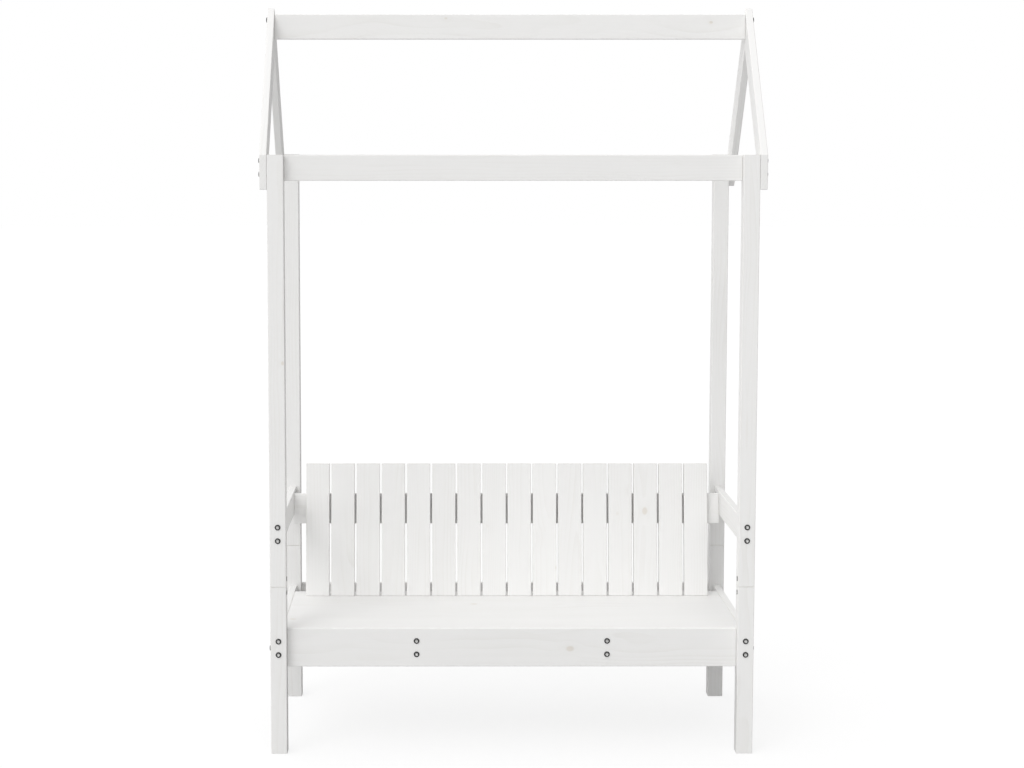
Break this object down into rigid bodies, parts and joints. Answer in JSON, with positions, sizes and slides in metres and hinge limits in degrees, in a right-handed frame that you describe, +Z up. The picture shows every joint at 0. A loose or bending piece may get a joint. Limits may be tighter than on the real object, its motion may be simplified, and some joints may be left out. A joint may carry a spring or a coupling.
{
  "type": "garden bench",
  "caption": "Free-standing white wooden garden bench with arm rails and a slatted leaning back, on tall corner posts that carry an open house-shaped roof frame.",
  "frame": {"origin": "centre of the bounding box's base, on the ground", "axes": "+Z up, -Y is the front where a person sits down, +X is to the right seen from the front"},
  "size_m": [1.3846, 0.6438, 2.0819],
  "materials": {
    "white_painted_pine": "white wash paint on planed pine, satin, faint grain and knots",
    "zinc_plated_steel": "bright zinc plate on domed socket heads"
  },
  "bodies": {
    "root": {"front_left_leg": "white_painted_pine", "front_left_post": "white_painted_pine", "front_left_tongue": "white_painted_pine", "front_left_rafter": "white_painted_pine", "front_right_leg": "white_painted_pine", "front_right_post": "white_painted_pine", "front_right_tongue": "white_painted_pine", "front_right_rafter": "white_painted_pine", "rear_left_leg": "white_painted_pine", "rear_left_post": "white_painted_pine", "rear_left_tongue": "white_painted_pine", "rear_left_rafter": "white_painted_pine", "rear_right_leg": "white_painted_pine", "rear_right_post": "white_painted_pine", "rear_right_tongue": "white_painted_pine", "rear_right_rafter": "white_painted_pine", "front_apron": "white_painted_pine", "rear_apron": "white_painted_pine", "left_seat_rail": "white_painted_pine", "right_seat_rail": "white_painted_pine", "left_bearer": "white_painted_pine", "right_bearer": "white_painted_pine", "left_seat_cleat": "white_painted_pine", "right_seat_cleat": "white_painted_pine", "seat_panel": "white_painted_pine", "rear_seat_board": "white_painted_pine", "left_arm_rail": "white_painted_pine", "right_arm_rail": "white_painted_pine", "back_rail": "white_painted_pine", "front_beam": "white_painted_pine", "rear_beam": "white_painted_pine", "ridge_board": "white_painted_pine", "back_slat_01": "white_painted_pine", "back_slat_02": "white_painted_pine", "back_slat_03": "white_painted_pine", "back_slat_04": "white_painted_pine", "back_slat_05": "white_painted_pine", "back_slat_06": "white_painted_pine", "back_slat_07": "white_painted_pine", "back_slat_08": "white_painted_pine", "back_slat_09": "white_painted_pine", "back_slat_10": "white_painted_pine", "back_slat_11": "white_painted_pine", "back_slat_12": "white_painted_pine", "back_slat_13": "white_painted_pine", "back_slat_14": "white_painted_pine", "back_slat_15": "white_painted_pine", "back_slat_16": "white_painted_pine", "left_arm_upper_bolt": "zinc_plated_steel", "left_arm_lower_bolt": "zinc_plated_steel", "left_rail_upper_bolt": "zinc_plated_steel", "left_rail_lower_bolt": "zinc_plated_steel", "left_bearer_upper_bolt": "zinc_plated_steel", "left_bearer_lower_bolt": "zinc_plated_steel", "right_arm_upper_bolt": "zinc_plated_steel", "right_arm_lower_bolt": "zinc_plated_steel", "right_rail_upper_bolt": "zinc_plated_steel", "right_rail_lower_bolt": "zinc_plated_steel", "right_bearer_upper_bolt": "zinc_plated_steel", "right_bearer_lower_bolt": "zinc_plated_steel"}
  },
  "joints": []
}
